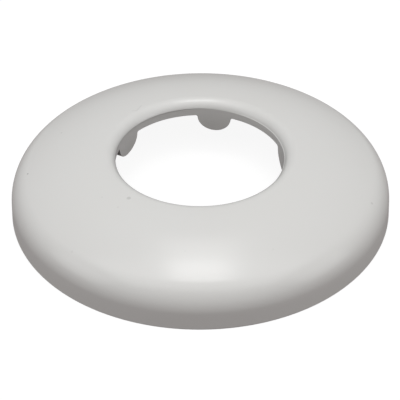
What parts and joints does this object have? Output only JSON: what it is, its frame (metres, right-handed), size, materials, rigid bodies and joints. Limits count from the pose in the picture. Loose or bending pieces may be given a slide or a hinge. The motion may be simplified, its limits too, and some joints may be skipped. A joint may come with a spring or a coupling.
{
  "type": "pipe escutcheon",
  "caption": "White moulded plastic cover ring, a shallow dome with a short skirt, that hides the hole where a pipe leaves a wall. Half-round tabs in the bore centre it on the pipe.",
  "frame": {"origin": "on the pipe's axis, in the plane of the foot that meets the wall", "axes": "+Z away from the wall along the pipe, +Y through the middle of one tab"},
  "size_m": [0.092, 0.092, 0.0156],
  "materials": {
    "white_plastic": "satin-gloss injection moulding, white"
  },
  "bodies": {
    "root": {"escutcheon": "white_plastic"}
  },
  "joints": []
}
